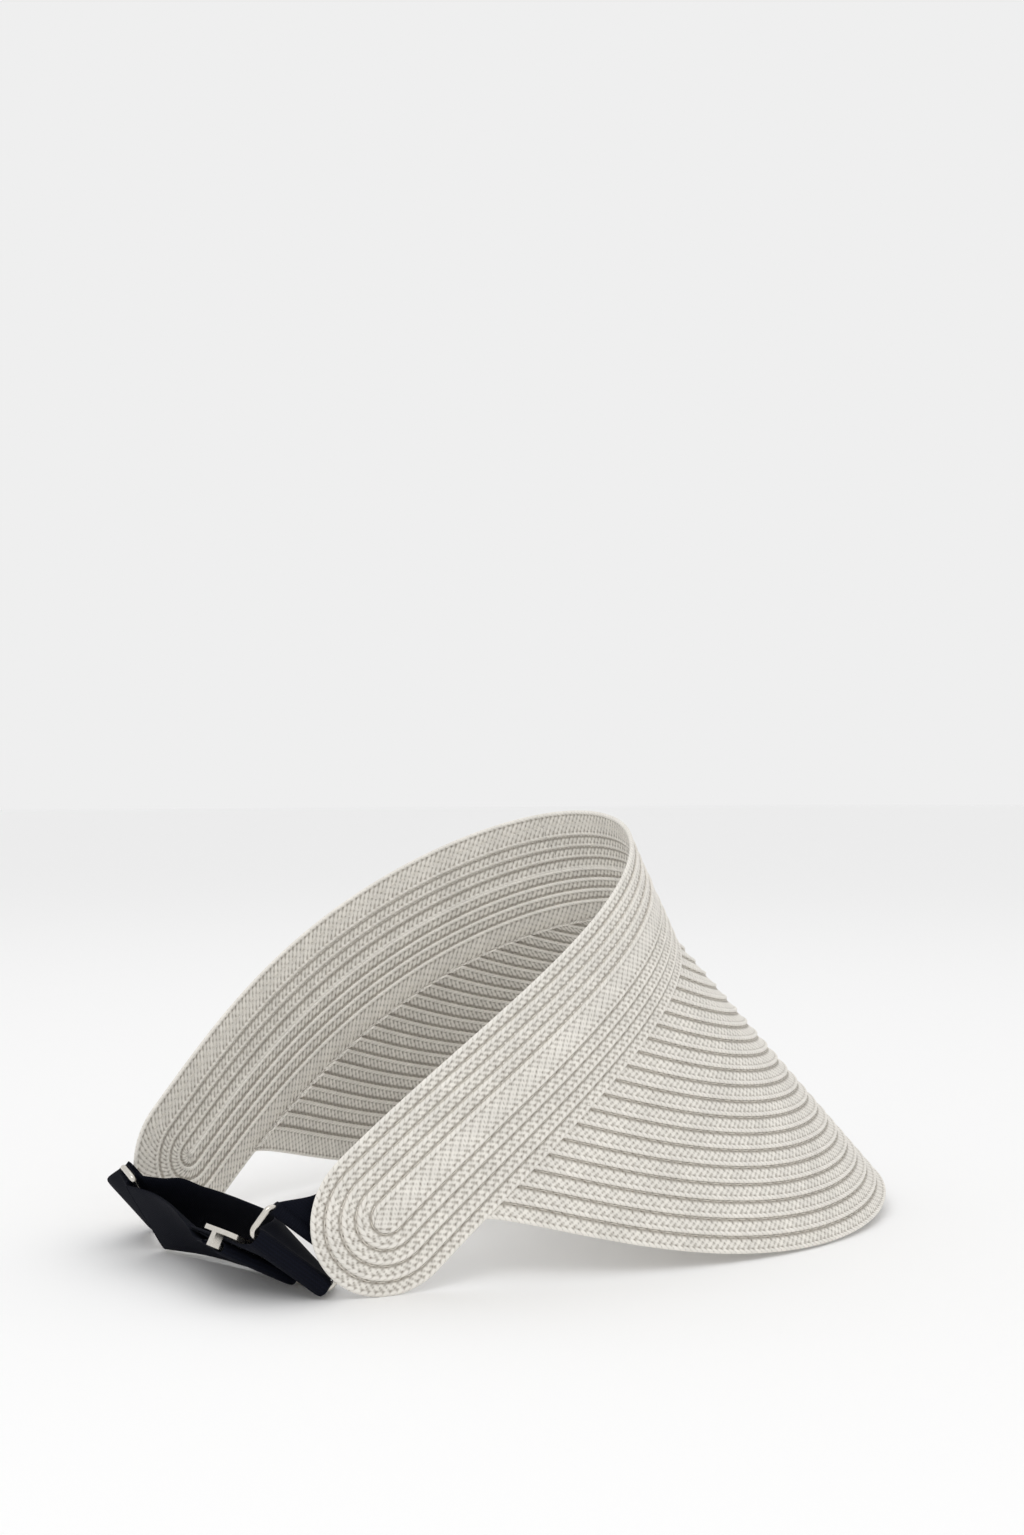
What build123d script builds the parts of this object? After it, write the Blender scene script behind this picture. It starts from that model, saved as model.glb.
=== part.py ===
from build123d import *
import math
import os

import numpy as np

# A braided-straw sun visor standing on a flat surface: on the brim's edge in front
# and on the two round ends of the headband behind.
#
# Frame: +X forwards, out over the brim, +Y to the wearer's left, +Z up, with the
# surface at Z = 0. While it is built, X and Y are measured from the front of the
# headband; at the end everything is moved together so that its box is centred.
# All dimensions are millimetres and degrees.

# ---- straw braid ----
braid_width = 9.6          # flat plait, full width
braid_thickness = 2.0
seam_gap = 0.3             # between neighbouring lengths of braid, where the thread runs
thread_width = 0.16
thread_height = 1.2

# ---- headband: a long oval of braid wound round a straight core ----
band_half_length = 224.0   # along the middle, from the front to one round end
band_rounds = 4            # rounds of braid outside the core
band_pitch = 4.5           # what each round adds to the width, on each side
band_width = braid_width + 2 * band_rounds * band_pitch
end_centre = band_half_length - band_width / 2
round_start = 20.0         # where each round begins, on the upper side near the front
round_break = 0.6          # between the beginning and the end of one round

# ---- how the headband bends round the head ----
turn_main = 1.94           # radians of turn to one end, most of it near the front
turn_even = -0.22          # radians of turn spread evenly
turn_temple = 0.18         # radians of extra turn at the temples
droop = 30.1               # how far the round ends hang below the front
droop_late = 4.0
lean_base = -0.9           # outward lean of the headband's width
lean_once = 1.1
lean_twice = -4.3
stand_tilt = 26.77         # how far the front is raised when the visor stands

# ---- brim ----
brim_rows = 23
brim_pitch = 5.45
brim_depth = brim_rows * brim_pitch
brim_half_span = 181.5     # along the headband's lower edge
brim_taper = 1.15          # how quickly the brim narrows towards its corners
brim_drop_front = 72.2     # below the headband's level
brim_drop_corner = 67.1
join_gap = 0.6             # between the headband's lower edge and the brim
short_row_end = 1.0        # the shortest row is cut off where it is this narrow

# ---- elastic webbing ----
webbing_width = 27.0
webbing_thickness = 1.0
tab_thickness = 2.0        # folded double
bar_clearance = 0.15       # tab and sewn loop round their bars
fold_clearance = 1.2       # strap round its bar
sewn_length = 8.0          # of the loop round the slider's middle bar
tail_end = -16.5           # Y where the threaded end of the strap stops
run_gap = 0.3              # between the stretching run and what it is joined to

# ---- rings: bent wire ----
wire_radius = 0.9
ring_length = 29.6         # between the middles of the short sides
ring_pitch = 9.6           # between the middles of the long bars
ring_corner = 2.0

# ---- slider: a three-bar buckle, flat strip ----
slider_length = 17.0       # along the strap
slider_width = 34.0        # across the strap
slider_side = 2.7
slider_bar = 2.6
slider_thickness = 1.4
slider_gap = 0.3           # between the threaded strap and the bars
slider_middle = Vector(-159.2, -37.5, 11.2)
slider_across = Vector(-0.885, 0, 0.466).normalized()
slider_up = Vector(0.466, 0, 0.885).normalized()

made = {}


def finish(part, name):
    """Label a finished piece and keep it until everything is built."""
    part.label = name
    made[name] = part


# ---- the headband's curved surface, for one place or a whole row of places ----

def heading(s):
    """Direction the headband faces at s along its middle, from straight ahead."""
    u = np.asarray(s) / band_half_length
    return turn_main * np.sin(math.pi * u / 2) + turn_even * u + turn_temple * np.sin(math.pi * u)


plan_step = 0.25
plan_count = int((band_half_length + 10) / plan_step)
plan_turn = heading((np.arange(plan_count) + 0.5) * plan_step)
plan_s = np.arange(plan_count + 1) * plan_step
plan_x = np.concatenate([[0], np.cumsum(-np.sin(plan_turn) * plan_step)])
plan_y = np.concatenate([[0], np.cumsum(np.cos(plan_turn) * plan_step)])


def unit(vectors):
    """The same directions with length one."""
    return vectors / np.linalg.norm(vectors, axis=-1, keepdims=True)


def tilt(vectors):
    """Turn directions of the level headband into those of the standing one."""
    cosine = math.cos(math.radians(stand_tilt))
    sine = math.sin(math.radians(stand_tilt))
    x, y, z = vectors[..., 0], vectors[..., 1], vectors[..., 2]
    return np.stack([cosine * x - sine * z, y, sine * x + cosine * z], axis=-1)


def band_frame(s):
    """Middle of the headband at s, and its directions along, up and outwards."""
    s = np.asarray(s, dtype=float)
    u = s / band_half_length
    face = heading(s)
    flat = np.zeros_like(s)
    out = np.stack([np.cos(face), np.sin(face), flat], axis=-1)
    along = np.stack([-np.sin(face), np.cos(face), flat], axis=-1)
    upright = np.array([0.0, 0.0, 1.0])
    x = np.interp(np.abs(s), plan_s, plan_x)
    y = np.interp(np.abs(s), plan_s, plan_y) * np.sign(s)
    middle = np.stack([x, y, -droop * u**2 - droop_late * u**4], axis=-1)
    slope = ((-2 * droop * u - 4 * droop_late * u**3) / band_half_length)[..., None]
    lean = lean_base + lean_once * np.cos(math.pi * u) + lean_twice * np.cos(2 * math.pi * u)
    lean = np.radians(lean)[..., None]
    up = unit(np.cos(lean) * upright + np.sin(lean) * out - slope * along)
    along = unit(along + slope * upright)
    return tilt(middle), tilt(along), tilt(up), tilt(np.cross(along, up))


def band_point(s, w, h=0.0):
    """Point s along the headband, w above its middle line and h out of its surface."""
    middle, _, up, out = band_frame(s)
    return middle + np.asarray(w)[..., None] * up + np.asarray(h)[..., None] * out


def brim_slope(s):
    """Direction of the brim, away from the headband, at s along the joint."""
    q = np.asarray(s) / brim_half_span
    drop = np.radians(brim_drop_front + (brim_drop_corner - brim_drop_front) * q**2)
    face = heading(s)
    level = np.cos(drop)
    return tilt(np.stack([level * np.cos(face), level * np.sin(face), -np.sin(drop)], axis=-1))


def brim_point(s, reach):
    """Point on the brim, reach away from the headband's lower edge at s."""
    edge = band_point(s, np.full(np.shape(s), -band_width / 2))
    return edge + np.asarray(reach)[..., None] * brim_slope(s)


# ---- lines on those surfaces ----

def oval_line(offset):
    """Points round the headband's oval at a distance from its straight middle line."""
    half = math.pi / 2
    bend = np.linspace(half, -half, 13)[1:-1]
    s = np.concatenate([
        np.linspace(round_start, end_centre, 22),
        end_centre + offset * np.cos(bend),
        np.linspace(end_centre, -end_centre, 46),
        -end_centre - offset * np.cos(bend),
        np.linspace(-end_centre, round_start - round_break, 26),
    ])
    w = np.concatenate([
        np.full(22, offset),
        offset * np.sin(bend),
        np.full(46, -offset),
        -offset * np.sin(bend),
        np.full(26, offset),
    ])
    return band_point(s, w)


def trim_at_band(line):
    """Keep the stretch of a brim line that lies clear of the headband's edge."""
    keep = np.where(line[:, 1] > join_gap)[0]
    first, last = keep[0], keep[-1]
    ends = []
    for inside, outside in ((first, first - 1), (last, last + 1)):
        share = (line[inside, 1] - join_gap) / (line[inside, 1] - line[outside, 1])
        ends.append(line[inside] + share * (line[outside] - line[inside]))
    return np.vstack([ends[0], line[first:last + 1], ends[1]])


def move_inwards(line, distance):
    """Shift a brim line, given as (s, reach) rows, towards the headband on the brim."""
    for _ in range(4):
        s, reach = line[:, 0], line[:, 1]
        ahead = np.gradient(brim_point(s, reach), axis=0)
        side = brim_point(s + 0.5, reach) - brim_point(s - 0.5, reach)
        slope = brim_slope(s)
        inward = unit(np.cross(ahead, np.cross(side, slope)))
        inward = inward * -np.sign(np.sum(inward * slope, axis=1))[:, None]
        # how much of each of the two surface directions makes up the inward step
        side_side = np.sum(side * side, axis=1)
        side_slope = np.sum(side * slope, axis=1)
        inward_side = np.sum(inward * side, axis=1)
        inward_slope = np.sum(inward * slope, axis=1)
        spread = side_side - side_slope**2
        by_side = (inward_side - inward_slope * side_slope) / spread
        by_slope = (inward_slope * side_side - inward_side * side_slope) / spread
        line = line + distance / 4 * np.column_stack([by_side, by_slope])
    return line


def even_points(spots, count):
    """The same line through fewer points, evenly spaced."""
    length = np.concatenate([[0], np.cumsum(np.linalg.norm(np.diff(spots, axis=0), axis=1))])
    wanted = np.linspace(0, length[-1], count)
    return np.column_stack([np.interp(wanted, length, spots[:, axis]) for axis in range(3)])


# The brim's free edge runs from corner to corner.
edge_fraction = np.sin(np.linspace(-1, 1, 401) * math.pi / 2)
edge_reach = brim_depth * (1 - edge_fraction**2) ** brim_taper
edge_line = np.column_stack([edge_fraction * brim_half_span, edge_reach])

# The visor rests on the brim's edge and on the headband's round ends.
edge_spots = brim_point(edge_line[:, 0], edge_line[:, 1])
edge_face = unit(np.cross(np.gradient(edge_spots, axis=0), brim_slope(edge_line[:, 0])))
edge_low = (edge_spots[:, 2] - braid_thickness / 2 * np.abs(edge_face[:, 2])).min()
end_low = oval_line(band_width / 2 - seam_gap / 2)[:, 2].min()
lift = np.array([0.0, 0.0, -min(edge_low, end_low)])


# ---- flat strips between two lines of points ----

def add_strip(low_line, high_line, thickness):
    """Add a strip between two lines to the part being built."""
    low_line = np.array(low_line)
    high_line = np.array(high_line)
    middle = (low_line + high_line) / 2
    steps = np.linalg.norm(np.diff(middle, axis=0), axis=1)
    pace = [float(place) for place in np.concatenate([[0], np.cumsum(steps)]) / np.sum(steps)]
    proud = thickness / 2 * unit(np.cross(np.gradient(middle, axis=0), high_line - low_line))
    corners = [low_line - proud, high_line - proud, high_line + proud, low_line + proud]
    edges = [Edge.make_spline([Vector(*spot) for spot in corner], parameters=pace) for corner in corners]
    faces = [Face.make_surface_from_curves(edges[i], edges[(i + 1) % 4]) for i in range(4)]
    for end in (0, -1):
        faces.append(Face(Wire.make_polygon([Vector(*corner[end]) for corner in corners], close=True)))
    add(Solid(Shell(faces)))


# ---- headband ----
core_edge = braid_width / 2 - seam_gap / 2
round_off = np.array([0.3, 0.6, 0.8, 0.93, 0.98]) * core_edge
core_straight = np.linspace(-end_centre, end_centre, 60)
core_s = np.concatenate([-round_off[::-1] - end_centre, core_straight, end_centre + round_off])
past_centre = np.maximum(0, np.abs(core_s) - end_centre)
core_half = np.sqrt(core_edge**2 - past_centre**2)
with BuildPart() as headband_core:
    add_strip(band_point(core_s, -core_half) + lift, band_point(core_s, core_half) + lift, braid_thickness)
finish(headband_core.part, "headband_core")

for number in range(1, band_rounds + 1):
    inner = braid_width / 2 + (number - 1) * band_pitch + seam_gap / 2
    outer = braid_width / 2 + number * band_pitch - seam_gap / 2
    with BuildPart() as headband_round:
        add_strip(oval_line(inner) + lift, oval_line(outer) + lift, braid_thickness)
    finish(headband_round.part, f"headband_round_{number}")

with BuildPart() as headband_stitching:
    for number in range(band_rounds):
        seam = braid_width / 2 + number * band_pitch
        inner = seam - thread_width / 2
        outer = seam + thread_width / 2
        add_strip(oval_line(inner) + lift, oval_line(outer) + lift, thread_height)
finish(headband_stitching.part, "headband_stitching")

# ---- brim: rows parallel to the free edge, cut off where they meet the headband ----
seam_lines = []
line = edge_line
for row in range(1, brim_rows + 1):
    outer = trim_at_band(line)
    if row < brim_rows:
        inner = trim_at_band(move_inwards(line, brim_pitch - seam_gap))
    else:
        outer = outer[outer[:, 1] > join_gap + short_row_end]
        inner = np.column_stack([outer[:, 0], np.full(len(outer), join_gap)])
    count = max(9, int(60 * len(outer) / 401))
    with BuildPart() as brim_row:
        add_strip(
            even_points(brim_point(outer[:, 0], outer[:, 1]), count) + lift,
            even_points(brim_point(inner[:, 0], inner[:, 1]), count) + lift,
            braid_thickness,
        )
    finish(brim_row.part, f"brim_row_{row:02d}")
    if row < brim_rows:
        seam_lines.append(move_inwards(line, brim_pitch - seam_gap / 2 - thread_width / 2))
        line = move_inwards(line, brim_pitch)

with BuildPart() as brim_stitching:
    for seam in seam_lines:
        outer = trim_at_band(seam)
        inner = trim_at_band(move_inwards(seam, thread_width))
        count = max(9, int(60 * len(outer) / 401))
        add_strip(
            even_points(brim_point(outer[:, 0], outer[:, 1]), count) + lift,
            even_points(brim_point(inner[:, 0], inner[:, 1]), count) + lift,
            thread_height,
        )
finish(brim_stitching.part, "brim_stitching")

join_s = np.linspace(-brim_half_span + 6, brim_half_span - 6, 60)
join_near = join_gap / 2 - thread_width / 2
with BuildPart() as joining_stitching:
    add_strip(
        brim_point(join_s, np.full(60, join_near + thread_width)) + lift,
        brim_point(join_s, np.full(60, join_near)) + lift,
        thread_height,
    )
finish(joining_stitching.part, "joining_stitching")


# ---- places of the rings ----
# A ring is placed by the middle of the long bar that carries the strap, the direction
# of the bars and the direction from the strap's bar to the tab's bar.

far_bars = Vector(-0.55, -0.12, 0.83).normalized()
far_inside = Vector(0.11, 0.97, 0.22).cross(far_bars).normalized()
far_pull = far_bars.cross(far_inside).normalized()
far_strap_bar = Vector(-163.3, 23.6, 13.6)
far_tab_bar = far_strap_bar + far_pull * ring_pitch

near_turn = 6.3            # how far the ring is turned against the headband's end
end_middle, end_along, end_up, end_out = [Vector(*row) for row in band_frame(-band_half_length)]
end_middle = end_middle + Vector(*lift)
near_bars = end_up.rotate(Axis((0, 0, 0), tuple(end_out)), near_turn).normalized()
near_inside = end_out * -1
near_pull = near_inside.cross(near_bars).normalized()
near_strap_bar = end_middle - end_along * 4.0 + end_up * 11.2 + near_inside * 4.0
near_tab_bar = near_strap_bar + near_pull * ring_pitch


def add_webbing(stations, thickness):
    """Add webbing through stations, each the middle of its width and that width's direction."""
    low = [middle - across.normalized() * webbing_width / 2 for middle, across in stations]
    high = [middle + across.normalized() * webbing_width / 2 for middle, across in stations]
    add_strip([tuple(spot) for spot in low], [tuple(spot) for spot in high], thickness)


def add_sleeve(bar_middle, bars):
    """Add the round of a folded tab that lies about a ring's bar."""
    with BuildSketch(Plane(bar_middle - bars * webbing_width / 2, z_dir=bars)) as section:
        Circle(wire_radius + bar_clearance + webbing_thickness)
        Circle(wire_radius + bar_clearance, mode=Mode.SUBTRACT)
    extrude(section.sketch, amount=webbing_width)


def fold(bar_middle, bars, first_side, apex):
    """Stations half way round a ring's bar, from first_side by way of apex."""
    radius = wire_radius + fold_clearance + webbing_thickness / 2
    stations = []
    for angle in (0, 30, 60, 90, 120, 150, 180):
        turn = math.radians(angle)
        outwards = first_side * math.cos(turn) + apex * math.sin(turn)
        stations.append((bar_middle + outwards * radius, bars))
    return stations


# ---- tabs, folded double and sewn to the ends of the headband ----
reach_in = 1.7             # how far from a bar's middle a tab's flat part begins

with BuildPart() as near_tab:
    flat = []
    for e in (22.0, 18.0, 14.0):
        s = e - band_half_length
        place = band_point(s, 6.0, -braid_thickness / 2 - tab_thickness / 2 - 0.2) + lift
        flat.append((Vector(*place), Vector(*band_frame(s)[2])))
    flat.append((near_tab_bar + near_pull * reach_in, near_bars))
    add_webbing(flat, tab_thickness)
    add_sleeve(near_tab_bar, near_bars)
finish(near_tab.part, "near_tab")

# The far tab comes out between the rounds, so that its sewn end follows their edge.
tab_w = np.linspace(-8.5, 18.5, 9)
tab_start = end_centre + np.sqrt((band_width / 2 + 0.9) ** 2 - tab_w**2)
tab_edge = band_point(tab_start, tab_w) + lift
bar_steps = np.linspace(-webbing_width / 2, webbing_width / 2, 9)[:, None]
tab_fold = np.array([-158.2, 50.0, 11.4]) + bar_steps * np.array([-0.68, -0.14, 0.72])
tab_bar = np.array(tuple(far_tab_bar + far_pull * reach_in)) + bar_steps * np.array(tuple(far_bars))
with BuildPart() as far_tab:
    add_strip(tab_edge, tab_fold, tab_thickness)
    add_strip(tab_fold, tab_bar, tab_thickness)
    add_sleeve(far_tab_bar, far_bars)
finish(far_tab.part, "far_tab")

# ---- rings ----
rings = {
    "far_ring": (far_strap_bar, far_bars, far_pull),
    "near_ring": (near_strap_bar, near_bars, near_pull),
}
for name, (strap_bar, bars, pull) in rings.items():
    middle = strap_bar + pull * ring_pitch / 2
    with BuildPart() as ring:
        with BuildLine(Plane(middle, x_dir=bars, z_dir=bars.cross(pull))):
            corners = [(-1, -1), (1, -1), (1, 1), (-1, 1)]
            spots = [(x * ring_length / 2, y * ring_pitch / 2) for x, y in corners]
            wire = FilletPolyline(*spots, radius=ring_corner, close=True)
        with BuildSketch(Plane(wire @ 0, z_dir=wire % 0)):
            Circle(wire_radius)
        sweep()
    finish(ring.part, name)

# ---- strap: from the far ring along the head's side, round the near ring to its end ----
travel = Vector(0, 1, 0)
near_away = (travel - near_bars * travel.dot(near_bars)).normalized()
near_upper = near_away.cross(near_bars).normalized()


def slider_plane(y, below=0.0):
    """Middle of webbing lying in the slider at y, or parallel to it and below."""
    return Vector(slider_middle.X, y, slider_middle.Z) - slider_up * below


head_side = [
    (Vector(-157.6, 16.5, 15.0), Vector(-0.54, -0.10, 0.835)),
    (Vector(-153.4, 9.0, 14.4), Vector(-0.53, -0.06, 0.845)),
    (Vector(-150.4, 0.0, 13.4), Vector(-0.54, -0.02, 0.84)),
    (Vector(-146.4, -19.0, 12.7), Vector(-0.62, 0.0, 0.785)),
    (Vector(-145.8, -38.0, 12.0), Vector(-0.66, 0.03, 0.75)),
    (Vector(-150.4, -47.0, 12.8), Vector(-0.71, 0.10, 0.70)),
]
threaded = [(Vector(-159.3, -49.6, 10.4), Vector(-0.835, 0.07, 0.54))]
for y in (-47, -44, -40, -34, -28, -22, tail_end):
    threaded.append((slider_plane(y), slider_across))
strap_stations = fold(far_strap_bar, far_bars, far_inside * -1, far_pull)
strap_stations += head_side
strap_stations += fold(near_strap_bar, near_bars, near_upper, near_away * -1)
strap_stations += threaded
with BuildPart() as strap:
    add_webbing(strap_stations, webbing_thickness)
finish(strap.part, "strap")

# ---- slider: two bars over the threaded strap and one under it ----
bar_below = 0.5 * webbing_thickness + slider_gap + webbing_thickness + bar_clearance
bar_middle = -bar_below - slider_thickness / 2
frame_bottom = webbing_thickness / 2 + slider_gap
with BuildPart() as slider:
    base = Plane(slider_middle, x_dir=slider_across, z_dir=slider_up)
    with BuildSketch(base.offset(frame_bottom)):
        RectangleRounded(slider_width, slider_length, 3.0)
        window = (slider_width - 2 * slider_side, slider_length - 2 * slider_bar)
        RectangleRounded(window[0], window[1], 0.8, mode=Mode.SUBTRACT)
    extrude(amount=slider_thickness)
    with BuildSketch(base.offset(bar_middle - slider_thickness / 2)):
        Rectangle(slider_width, slider_bar)
    extrude(amount=slider_thickness)
    leg_place = (slider_width - slider_side) / 2
    with BuildSketch(base.offset(bar_middle)):
        with Locations((-leg_place, 0), (leg_place, 0)):
            Rectangle(slider_side, slider_bar)
    extrude(amount=frame_bottom + slider_thickness / 2 - bar_middle)
finish(slider.part, "slider")

# ---- the strap's other end: a loop sewn round the slider's middle bar ----
loop_radius = slider_thickness / 2 + bar_clearance
loop_flat = slider_bar / 2
with BuildPart() as sewn_loop:
    loop_base = Plane(slider_middle + slider_up * bar_middle, x_dir=travel, z_dir=slider_across)
    with BuildSketch(loop_base.offset(-webbing_width / 2)):
        loop_outer = loop_radius + webbing_thickness
        SlotCenterToCenter(2 * loop_flat, 2 * loop_outer)
        with Locations((loop_flat + loop_radius, 0)):
            Rectangle(sewn_length, 2 * webbing_thickness, align=(Align.MIN, Align.CENTER))
        SlotCenterToCenter(2 * loop_flat, 2 * loop_radius, mode=Mode.SUBTRACT)
    extrude(amount=webbing_width)
finish(sewn_loop.part, "strap_sewn_loop")

# ---- the stretch between that loop and the far ring, which gathers as the slider moves ----
loop_end = slider_middle.Y + loop_flat + loop_radius + sewn_length
outer_side = [
    (slider_plane(loop_end + run_gap, -bar_middle), slider_across),
    (slider_plane(loop_end + 4, -bar_middle), slider_across),
    (Vector(-160.0, -13.0, 9.6), Vector(-0.80, 0.0, 0.60)),
    (Vector(-161.2, -3.0, 11.6), Vector(-0.70, -0.03, 0.71)),
    (Vector(-162.8, 8.0, 12.6), Vector(-0.62, -0.07, 0.78)),
    (Vector(-164.6, 17.0, 12.6), Vector(-0.57, -0.11, 0.815)),
]
fold_start = strap_stations[0][0] - far_pull * run_gap
outer_side.append((fold_start, far_bars))
with BuildPart() as strap_outer_run:
    add_webbing(outer_side, webbing_thickness)
finish(strap_outer_run.part, "strap_outer_run")

# ---- centre everything on the resting surface and write it out ----
boxes = [part.bounding_box() for part in made.values()]
least = [min(tuple(box.min)[axis] for box in boxes) for axis in range(3)]
most = [max(tuple(box.max)[axis] for box in boxes) for axis in range(3)]
shift = Vector(-(least[0] + most[0]) / 2, -(least[1] + most[1]) / 2, -least[2])
os.makedirs("parts", exist_ok=True)
for name, part in made.items():
    with BuildPart() as placed:
        add(part.moved(Location(shift)))
    placed.part.label = name
    export_step(placed.part, f"parts/{name}.step")
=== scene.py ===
import math

import bmesh
import bpy
import numpy as np
from mathutils import Matrix, Vector


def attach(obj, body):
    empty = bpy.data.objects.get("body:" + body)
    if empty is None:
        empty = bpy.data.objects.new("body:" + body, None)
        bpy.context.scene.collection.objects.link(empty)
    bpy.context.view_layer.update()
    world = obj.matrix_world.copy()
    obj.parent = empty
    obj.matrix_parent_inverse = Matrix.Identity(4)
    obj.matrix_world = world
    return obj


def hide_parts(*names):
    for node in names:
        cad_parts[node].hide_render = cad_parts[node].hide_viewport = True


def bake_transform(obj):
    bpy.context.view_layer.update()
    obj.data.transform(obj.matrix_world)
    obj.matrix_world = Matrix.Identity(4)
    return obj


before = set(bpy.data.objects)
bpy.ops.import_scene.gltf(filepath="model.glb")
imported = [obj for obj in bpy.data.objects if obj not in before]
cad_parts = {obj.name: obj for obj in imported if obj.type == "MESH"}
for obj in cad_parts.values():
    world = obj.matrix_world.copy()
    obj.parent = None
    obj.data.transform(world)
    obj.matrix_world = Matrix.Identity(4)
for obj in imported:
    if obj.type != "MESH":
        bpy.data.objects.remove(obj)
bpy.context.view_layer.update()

bl_info = {
    "name": "Braided Straw Visor",
    "version": (1, 0, 0),
    "blender": (4, 5, 0),
    "location": "View3D > Sidebar > Visor",
    "description": "Builds the visible model of a braided straw sun visor round its CAD frame",
    "category": "Object",
}

MM = 0.001

# The CAD is laid out from the front of the headband and then moved to its box's centre.
SHIFT = np.array([37.713, 0.0, 0.0091])


# ---- sizes and colours that a user would change ----

class StrawSettings(bpy.types.PropertyGroup):
    plait_width: bpy.props.FloatProperty(
        name="Plait width", description="Full width of the flat plait", default=9.6 * MM, unit="LENGTH")
    plait_thickness: bpy.props.FloatProperty(
        name="Plait thickness", description="Thickness of one layer of plait", default=1.05 * MM, unit="LENGTH")
    strand_width: bpy.props.FloatProperty(
        name="Strand width", description="Width of one straw strand in the plait", default=2.0 * MM, unit="LENGTH")
    relief: bpy.props.FloatProperty(
        name="Relief", description="How far strands stand above the gaps between them", default=0.5 * MM,
        unit="LENGTH")
    sample: bpy.props.FloatProperty(
        name="Sample", description="Spacing of the mesh along the plait", default=0.37 * MM, unit="LENGTH")
    straw: bpy.props.StringProperty(
        # painted shade: this colour is painted on the straw down between strands, at the gaps by the cords and beside
        # raised edges
        name="Straw", description="sRGB hex of the bleached straw", default="EFEBE3")
    straw_painted_shade: bpy.props.StringProperty(
        name="Straw shade", description="sRGB hex of straw down between strands", default="6F6352")


class WebbingSettings(bpy.types.PropertyGroup):
    width: bpy.props.FloatProperty(
        name="Width", description="Width of the elastic webbing", default=27.0 * MM, unit="LENGTH")
    thickness: bpy.props.FloatProperty(
        name="Thickness", description="Thickness of the webbing", default=1.0 * MM, unit="LENGTH")
    rib: bpy.props.FloatProperty(
        name="Rib", description="Spacing of the woven ribs along the webbing", default=0.9 * MM, unit="LENGTH")
    colour: bpy.props.StringProperty(
        name="Colour", description="sRGB hex of the navy yarn", default="090C17")


class StageSettings(bpy.types.PropertyGroup):
    floor: bpy.props.StringProperty(
        name="Floor", description="sRGB hex of the floor and backdrop", default="FCFCFC")
    floor_size: bpy.props.FloatProperty(
        name="Floor size", description="Side of the square floor", default=80.0, unit="LENGTH")


def linear(code, alpha=1.0):
    """An sRGB hex colour as linear RGBA."""
    parts = [int(code[i:i + 2], 16) / 255 for i in (0, 2, 4)]
    parts = [c / 12.92 if c <= 0.04045 else ((c + 0.055) / 1.055) ** 2.4 for c in parts]
    return (*parts, alpha)


# ---- the headband's and the brim's curved surfaces, in millimetres, as the CAD has them ----

FINE_STEP = 1.09           # between the brim lines worked out
TUCK = 1.6                 # how far the brim's rows run up under the headband's edge
SEAM_WIDTH = 0.4           # of the painted shade strip beside a raised edge
BAND_HALF = 224.0
BAND_PITCH = 4.5
BRIM_PITCH = 5.45
BRIM_ROWS = 23
BAND_ROUNDS = 4
CORE_WIDTH = 9.6
BAND_WIDTH = CORE_WIDTH + 2 * BAND_ROUNDS * BAND_PITCH
END_CENTRE = BAND_HALF - BAND_WIDTH / 2
BRIM_SPAN = 181.5
BRIM_DEPTH = BRIM_ROWS * BRIM_PITCH
TILT = math.radians(26.77)
LIFT = 119.2308


def heading(s):
    u = np.asarray(s) / BAND_HALF
    return 1.94 * np.sin(math.pi * u / 2) - 0.22 * u + 0.18 * np.sin(math.pi * u)


PLAN_STEP = 0.25
_turn = heading((np.arange(940) + 0.5) * PLAN_STEP)
PLAN_S = np.arange(941) * PLAN_STEP
PLAN_X = np.concatenate([[0], np.cumsum(-np.sin(_turn) * PLAN_STEP)])
PLAN_Y = np.concatenate([[0], np.cumsum(np.cos(_turn) * PLAN_STEP)])


def unit(v):
    return v / np.linalg.norm(v, axis=-1, keepdims=True)


def tilt(v):
    x, y, z = v[..., 0], v[..., 1], v[..., 2]
    c, s = math.cos(TILT), math.sin(TILT)
    return np.stack([c * x - s * z, y, s * x + c * z], axis=-1)


def band_frame(s):
    """Middle of the headband at s, and its directions along, up and outwards."""
    s = np.asarray(s, dtype=float)
    u = s / BAND_HALF
    face = heading(s)
    flat = np.zeros_like(s)
    out = np.stack([np.cos(face), np.sin(face), flat], axis=-1)
    along = np.stack([-np.sin(face), np.cos(face), flat], axis=-1)
    upright = np.array([0.0, 0.0, 1.0])
    x = np.interp(np.abs(s), PLAN_S, PLAN_X)
    y = np.interp(np.abs(s), PLAN_S, PLAN_Y) * np.sign(s)
    middle = np.stack([x, y, -30.1 * u**2 - 4.0 * u**4], axis=-1)
    slope = ((-60.2 * u - 16.0 * u**3) / BAND_HALF)[..., None]
    lean = np.radians(-0.9 + 1.1 * np.cos(math.pi * u) - 4.3 * np.cos(2 * math.pi * u))[..., None]
    up = unit(np.cos(lean) * upright + np.sin(lean) * out - slope * along)
    along = unit(along + slope * upright)
    middle = tilt(middle)
    middle[..., 2] += LIFT
    return middle, tilt(along), tilt(up), tilt(np.cross(along, up))


def band_point(s, w, h=0.0):
    middle, _, up, out = band_frame(s)
    return middle + np.asarray(w)[..., None] * up + np.asarray(h)[..., None] * out


def brim_slope(s):
    q = np.asarray(s) / BRIM_SPAN
    drop = np.radians(72.2 - 5.1 * q**2)
    face = heading(s)
    level = np.cos(drop)
    return tilt(np.stack([level * np.cos(face), level * np.sin(face), -np.sin(drop)], axis=-1))


def brim_point(s, reach):
    edge = band_point(s, np.full(np.shape(s), -BAND_WIDTH / 2))
    return edge + np.asarray(reach)[..., None] * brim_slope(s)


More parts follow.
